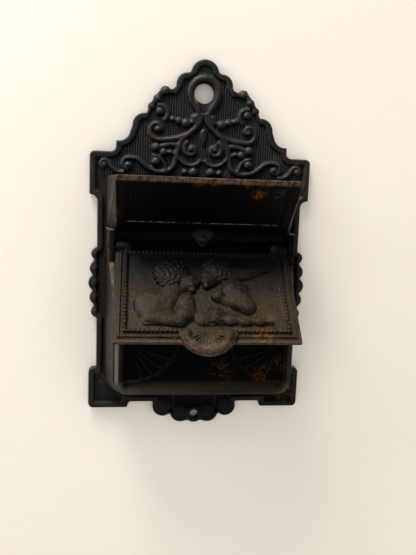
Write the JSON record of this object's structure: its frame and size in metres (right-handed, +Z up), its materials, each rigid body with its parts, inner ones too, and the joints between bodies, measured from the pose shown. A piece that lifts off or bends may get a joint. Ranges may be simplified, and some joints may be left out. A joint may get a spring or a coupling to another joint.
{
  "type": "match holder",
  "caption": "Cast iron wall match holder: scrolled back plate, open tray with a ribbed striker, and a lower box with a sloping hinged lid.",
  "frame": {"origin": "centre of the hanging hole on the back face of the plate", "axes": "+Z up, +X to the right seen from the front, +Y into the wall"},
  "size_m": [0.1086, 0.0576, 0.1809],
  "materials": {
    "plate_iron": "old black casting, dry and slightly rusted",
    "box_iron": "old black casting, dusty",
    "tray_iron": "old black casting, rust on the lip",
    "lid_iron": "worn brown casting, dusty and rusted",
    "pin_iron": "rusted iron"
  },
  "bodies": {
    "holder": {"back_plate": "plate_iron", "match_box": "box_iron", "upper_tray": "tray_iron", "hinge_pin_left": "pin_iron", "hinge_pin_right": "pin_iron", "tray_rivet": "pin_iron", "box_rivets": "pin_iron"},
    "lid": {"lid": "lid_iron"}
  },
  "joints": [
    {"name": "lid_hinge", "type": "hinge", "parent": "holder", "child": "lid", "pos_m": [0, -0.0164, -0.0734], "axis": [-1, 0, 0], "range_deg": [0, 88]}
  ]
}
